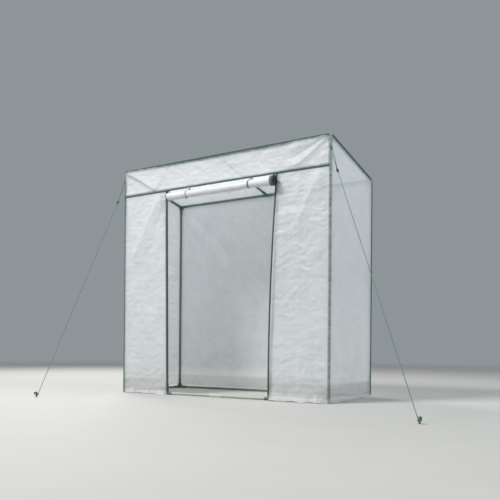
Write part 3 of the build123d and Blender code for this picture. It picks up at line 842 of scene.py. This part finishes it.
# Rolled-up door: the film door, bound with green tape down both sides, comes down from the lintel
# seam, is rolled up outwards in about fourteen turns and tied. The roll is looser at its right end,
# where it flares and the taped edges of the turns show as a dark spiral.
roll_low, roll_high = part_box("door_roll")
roll_r, flare_r = 0.03, (roll_high.z - roll_low.z) / 2
flare_length = 0.26
core_r = 0.0055
roll_turns = 14
roll_z = (roll_high.z + roll_low.z) / 2 - 0.008
roll_y = (-0.0466, -0.0576)
seam_y, seam_z = -skin - 0.0012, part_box("door_ties")[1].z
tie_places = (-0.271, 0.327)
tie_pinch = 0.11
roll_left, roll_right = roll_low.x + 0.01, roll_high.x - 0.014
door_width = roll_right - roll_left
left_band, right_band = 0.008, 0.024


def roll_axis(x):
    """Y of the middle of the roll, and its radius, at a place along it."""
    share = (x - roll_left) / door_width
    past = np.clip(x - (roll_right - flare_length), 0, None)
    radius = roll_r + (flare_r - roll_r) * (past / flare_length) ** 2
    return roll_y[0] + (roll_y[1] - roll_y[0]) * share, radius


# The sheet's columns are closer together at its taped edges. Its rows go down from the seam, round
# the outside of the roll, and on to the core.
turn_steps, steps_along, drop_rows = 30, 96, 5
columns_x = np.concatenate([np.linspace(0, left_band, 4)[:-1],
                            np.linspace(left_band, door_width - right_band, steps_along),
                            np.linspace(door_width - right_band, door_width, 5)[1:]]) + roll_left
turn = np.linspace(0, 2 * pi * roll_turns, turn_steps * roll_turns + 1)[:, None]
centre_y, outer_r = roll_axis(columns_x)
pinch = sum(np.exp(-((columns_x - place) / 0.022) ** 2) for place in tie_places)
angle = radians(-2) - turn + 0 * columns_x
depth = turn / turn[-1]
radius = outer_r + (core_r - outer_r) * depth
level_x = columns_x + 0 * turn
ripple = 0.045 * lumps(level_x, angle * 0.16, 0.35, 71) + 0.03 * lumps(level_x, angle * 0.05, 0.12, 72)
ripple = ripple * (1 + 0.6 * ease((columns_x - 0.38) / 0.2))
ripple = ripple + 0.02 * np.abs(lumps(columns_x * 0.6 + 0.1 * angle, angle * 0.12, 0.1, 73))
ripple = ripple + 0.028 * lumps(columns_x * 0.4 + 0.02 * angle, angle * 0.3, 0.12, 74)
radius = radius * (1 + ripple * (1 - depth) ** 0.3) * (1 - tie_pinch * pinch)
slant = 0.011 * np.sin(angle + 0.4) * ease((roll_left + 0.25 - columns_x) / 0.25)
dome = -0.024 * ease((columns_x - 0.44) / 0.12) * (1 - np.sqrt(1 - (1 - depth) ** 2))
roll_x = columns_x - slant + dome
spiral = np.stack([roll_x, centre_y + radius * np.cos(angle), roll_z + radius * np.sin(angle)], -1)
fall = np.linspace(0, 1, drop_rows, endpoint=False)[:, None, None]
sewn_x = roll_left + (columns_x - roll_left) * (0.537 - roll_left) / door_width
from_seam = np.stack([sewn_x, np.full_like(columns_x, seam_y), np.full_like(columns_x, seam_z)], -1)
places = np.concatenate([from_seam + (spiral[0] - from_seam) * fall, spiral])
run = np.repeat(columns_x[None], len(places), 0)
lengths = np.linalg.norm(np.diff(places, axis=0), axis=2).mean(1)
down_sheet = np.concatenate([[0], np.cumsum(lengths)])[:, None] + 0 * columns_x
from_left, from_right = columns_x[:-1] - roll_left, roll_right - columns_x[:-1]
taped = (from_left < left_band - 1e-6) | (from_right < right_band + 1e-6)
rolled_film = net_film("white_net_film_rolled", sheer=0.35, white=0.2)
door_sheet = film_sheet("rolled_door", places, run, down_sheet, 0 * run, ["door_roll"], film=rolled_film,
                        flat=(door_width, float(down_sheet[-1, 0])), held="folded", rests_on=["door_ties"])
# A lighter green tape than on the seams, for the roll's taped edges and for the right tie.
lighter_green_cloth = woven_tape("lighter_green_woven_tape", (0.05, 0.105, 0.08, 1), (0.1, 0.175, 0.14, 1))
door_sheet.data.materials.append(lighter_green_cloth)
band_faces = np.repeat(taped[None], len(places) - 1, 0)
door_sheet.data.polygons.foreach_set("material_index", band_faces.ravel().astype(np.int32))


# Ties: two straps sewn into the lintel seam, each taken once round the roll, which they pinch. The
# left one is undyed and knotted under the roll with two short green tails; the right one is green.
def strap(x, width, thick=0.0011):
    """A flat strap that goes from the seam down behind the roll, under and over it, and back."""
    middle_y, radius = roll_axis(x)
    snug = radius * (1 - tie_pinch) + 0.0019
    to_seam = Vector((seam_y - middle_y, seam_z - roll_z))
    seam_angle, opening = atan2(to_seam.y, to_seam.x), acos(snug / to_seam.length)
    turns = np.linspace(seam_angle - opening, seam_angle + opening - 2 * pi, 61)
    sewn_z = seam_height(x) - 0.002
    path = [Vector((x, middle_y + snug * cos(turn), roll_z + snug * sin(turn))) for turn in turns]
    path = [Vector((x, seam_y + 0.0006, sewn_z)), *path, Vector((x, seam_y - 0.0006, sewn_z))]
    wide, sections = Vector((width / 2, 0, 0)), []
    for before, place, after in zip(path[:1] + path, path, path[1:] + path[-1:]):
        face = (after - before).normalized().cross(Vector((1, 0, 0))).normalized() * thick / 2
        crown = place + face * 1.3
        ring = [place + wide + face, crown, place - wide + face, place - wide - face, place + wide - face]
        sections.append(ring)
    return swept_mesh(sections)


def twisted_cord(path, radius, lay_length=0.012):
    """Three strands laid together along a path, without twist of the path's own."""
    path = np.asarray(path, float)
    ahead = np.gradient(path, axis=0)
    ahead /= np.linalg.norm(ahead, axis=1)[:, None]
    first = np.cross(ahead[0], (0.3, 0.2, 0.9))
    firsts = [first / np.linalg.norm(first)]
    for way in ahead[1:]:
        held = firsts[-1] - way * np.dot(firsts[-1], way)
        firsts.append(held / np.linalg.norm(held))
    first = np.array(firsts)
    second = np.cross(ahead, first)
    run = np.concatenate([[0], np.cumsum(np.linalg.norm(np.diff(path, axis=0), axis=1))])
    round_it = np.linspace(0, 2 * pi, 12, endpoint=False)
    strand = np.abs(np.cos(1.5 * (round_it[None] - 2 * pi * run[:, None] / lay_length)))
    reach = radius * (0.8 + 0.2 * strand)
    cosine, sine = np.cos(round_it)[None, :, None], np.sin(round_it)[None, :, None]
    rings = path[:, None] + reach[..., None] * (cosine * first[:, None] + sine * second[:, None])
    return swept_mesh(rings)


def knot_path(centre, size, tilt):
    """An overhand knot drawn up tight, round a point."""
    t = np.linspace(0, 2 * pi, 90)
    across, along = np.sin(t) + 2 * np.sin(2 * t), np.cos(t) - 2 * np.cos(2 * t)
    knot = np.stack([across, along, -1.1 * np.sin(3 * t)], -1) / 3
    turned = np.array(Matrix.Rotation(tilt, 3, "Y") @ Matrix.Rotation(tilt * 0.6, 3, "X"))
    return knot * size @ turned.T + np.array(centre)


knot_x, knot_y, under_roll = tie_places[0], roll_y[0] - 0.006, roll_z - 0.0265
knot = twisted_cord(knot_path((knot_x, knot_y, under_roll - 0.001), 0.0052, 0.5), 0.0022)
tails = []
drop = np.linspace(0, 1, 14)[:, None]
for lean in (-1, 1):
    tail = (knot_x, knot_y, under_roll - 0.003) + drop * (0.006 * lean, -0.004, -0.012 - 0.003 * lean)
    tails.append(twisted_cord(tail + np.sin(3 * drop) * (0.003 * lean, 0, 0), 0.0014))
pale_tape = woven_tape("undyed_woven_tape", (0.42, 0.47, 0.44, 1), (0.62, 0.67, 0.64, 1))
for name, place, width, cloth in (("left_door_tie", tie_places[0], 0.014, pale_tape),
                                  ("right_door_tie", tie_places[1], 0.01, lighter_green_cloth)):
    put_together(name, [strap(place, width)], cloth, "binding", "door_ties")
put_together("left_tie_knot", [knot, *tails], tape_cloth, "binding")


# Guy ropes: green three-strand cord. Each is looped through a brass-rimmed eyelet at a front corner,
# comes back double to a slider that sets its length, and runs single to a moulded peg, where it is
# knotted round the shaft under the hook.
rope_green, tree, place = blank_material("light_green_rope")
fibres = mottle(tree, shade(tree, "UVMap", uv_map="flat"), 0.0012, 3.0, stretch=(0.35, 1, 1))
colour = mix(tree, fibres, (0.055, 0.125, 0.092, 1), (0.16, 0.285, 0.215, 1))
grime = span(tree, mottle(tree, place, 0.09), 0.5, 0.8)
coated(rope_green, mix(tree, times(tree, grime, 0.4), colour, dust), 0.72, relief(tree, fibres, 0.0003, 0.7))

slider_black = moulded_plastic("black_slider_plastic", (0.008, 0.008, 0.009, 1), (0.02, 0.02, 0.022, 1))
peg_green = moulded_plastic("teal_peg_plastic", (0.012, 0.085, 0.062, 1), (0.03, 0.15, 0.11, 1))
sharp_from = radians(35)
for name, node, plastic, slot, rounded in (
    ("rope_sliders", "guy_sliders", slider_black, "slider", 0.0008),
    ("rope_pegs", "guy_pegs", peg_green, "peg", 0.0013),
):
    shape = bmesh.new()
    shape.from_mesh(nodes[node].data)
    bmesh.ops.remove_doubles(shape, verts=shape.verts, dist=1e-5)
    bmesh.ops.dissolve_limit(shape, angle_limit=radians(2), verts=shape.verts, edges=shape.edges)
    sharp = [edge for edge in shape.edges if edge.calc_face_angle(0) > sharp_from]
    bmesh.ops.bevel(
        shape, geom=sharp, offset=rounded, segments=3, profile=0.5, affect="EDGES", clamp_overlap=True)
    bmesh.ops.triangulate(shape, faces=shape.faces)
    mesh = bpy.data.meshes.new(name)
    shape.to_mesh(mesh)
    shape.free()
    mesh.transform(nodes[node].matrix_world)
    mesh.shade_smooth()
    mesh.set_sharp_from_angle(angle=sharp_from)
    put_on(placed(name, mesh), plastic, slot, node)

eyelet_metal = moulded_plastic("dulled_brass", (0.08, 0.075, 0.05, 1), (0.16, 0.14, 0.08, 1), 0.3)
rope_r = 0.0024
peg_y, peg_tie_z = -0.825, 0.015
slider_share, slider_half = 0.1045, 0.015
loop_reach = 0.93
rim_profile = [(0.0, 0.0016), (0.0022, 0.001), (0.003, -0.0004), (0.0, -0.0012), (-0.003, -0.0004),
               (-0.0022, 0.001)]


def guy_rope(name, replaced, corner_x, anchor_z, peg_x):
    """Put one rope on, with its doubled loop, single run and knots, and give back its eyelet's mesh."""
    corner, foot = Vector((corner_x, 0, anchor_z)), Vector((peg_x, peg_y, peg_tie_z))
    way = (foot - corner).normalized()
    outward = Vector((foot.x - corner.x, foot.y - corner.y, 0)).normalized()
    aside = way.cross(outward).normalized()
    level = outward.cross(up)
    slider = corner + (foot - corner) * slider_share
    loop_foot = slider - way * (slider_half - 0.004)
    to_eyelet = corner + outward * (skin + 0.004) - loop_foot
    halves = [[loop_foot + to_eyelet * share * loop_reach + aside * hand * (0.0022 + 0.0062 * share ** 1.5)
               for share in np.linspace(0, 1, 60)] for hand in (1, -1)]
    loop_head = loop_foot + to_eyelet * loop_reach
    bow = [loop_head + aside * (0.0084 * cos(turn)) - way * (0.011 * sin(turn))
           for turn in np.linspace(0, pi, 14)[1:-1]]
    leaves, arrives = slider + way * (slider_half - 0.004), foot - outward * 0.0085
    single = [leaves.lerp(arrives, share) for share in np.linspace(0, 1, 950)]
    round_peg = [foot + outward * (0.0092 * cos(turn)) - level * (0.0074 * sin(turn))
                 for turn in np.linspace(0, 2 * pi, 48)]
    peg_knot = knot_path(arrives - way * 0.006, 0.0058, 0.9)
    stopper = knot_path(slider + way * (slider_half + 0.004), 0.0046, 1.7)
    lengths = ((halves[0] + bow + halves[1][::-1], rope_r), (single, rope_r), (round_peg, rope_r),
               (peg_knot, 0.0023), (stopper, 0.0019))
    put_together(name, [twisted_cord(*length) for length in lengths], rope_green, "rope", replaced)
    sections = []
    for turn in np.linspace(0, 2 * pi, 33)[:-1]:
        radial = up * cos(turn) + level * sin(turn)
        centre = corner + outward * (skin + 0.0012) + radial * 0.0085
        sections.append([centre + radial * across + outward * out for across, out in rim_profile])
    return swept_mesh(sections, closed=True)


eyelets = [guy_rope("right_rope", "right_guy_rope", post_x, 1.82, 1.8802),
           guy_rope("left_rope", "left_guy_rope", -post_x, 1.835, -1.1242)]
put_together("rope_eyelets", eyelets, eyelet_metal, "slider")


# Stage: a plain pale floor that fades into a grey surround, lit by a broad lamp from the left front
# and above, a weaker one from the right, and a third from the left back that comes through the film.
floor_mesh = bpy.data.meshes.new("floor")
floor_mesh.from_pydata([(-30, -30, 0), (30, -30, 0), (30, 30, 0), (-30, 30, 0)], [], [(0, 1, 2, 3)])
floor = placed("floor", floor_mesh)
surround_colour, surround_seen, surround_light = (0.85, 0.94, 1.0, 1), 0.32, 0.165
floor_paint, tree, place = blank_material("plain_floor")
tone = mix(tree, mottle(tree, place, 0.4), (0.5, 0.49, 0.47, 1), (0.54, 0.53, 0.51, 1))
paint = shade(tree, "BsdfPrincipled", {"Base Color": tone, "Roughness": 0.9})
haze = shade(tree, "Emission", {"Color": surround_colour, "Strength": surround_seen})
distance = shade(tree, "VectorMath", {0: place}, "Value", operation="LENGTH")
far = span(tree, distance, 4.5, 15.0)
finish_with(tree, shade(tree, "MixShader", {0: far, 1: paint, 2: haze}))
floor_mesh.materials.append(floor_paint)
for name, place, target, size, power, colour in (
    ("front_light", (-3.0, -5.6, 7.4), (0, 0, 0.9), 3.0, 920, (1, 1, 1)),
    ("right_light", (7.5, 0.9, 5.4), (0.9, 0.4, 0.9), 3.2, 310, (0.9, 0.97, 1.0)),
    ("back_light", (-5.0, 3.4, 5.0), (0, 0.4, 0.9), 2.8, 280, (1, 1, 1)),
):
    lamp = bpy.data.lights.new(name, "AREA")
    lamp.size = size
    lamp.energy = power
    lamp.color = colour
    holder = placed(name, lamp)
    holder.location = place
    holder.rotation_euler = (Vector(target) - Vector(place)).to_track_quat("-Z", "Y").to_euler()
world = bpy.data.worlds.new("surround")
scene.world = world
world.use_nodes = True
tree = world.node_tree
tree.nodes.clear()
rays = tree.nodes.new("ShaderNodeLightPath").outputs
seen = work_out(tree, "MAXIMUM", rays["Is Camera Ray"], rays["Is Transmission Ray"])
seen = work_out(tree, "MAXIMUM", seen, rays["Is Glossy Ray"])
strength = span(tree, seen, 0.0, 1.0, surround_light, surround_seen)
sky = shade(tree, "Background", {"Color": surround_colour, "Strength": strength})
wire(tree, "ShaderNodeOutputWorld", {"Surface": sky})
scene.view_settings.view_transform = "Standard"
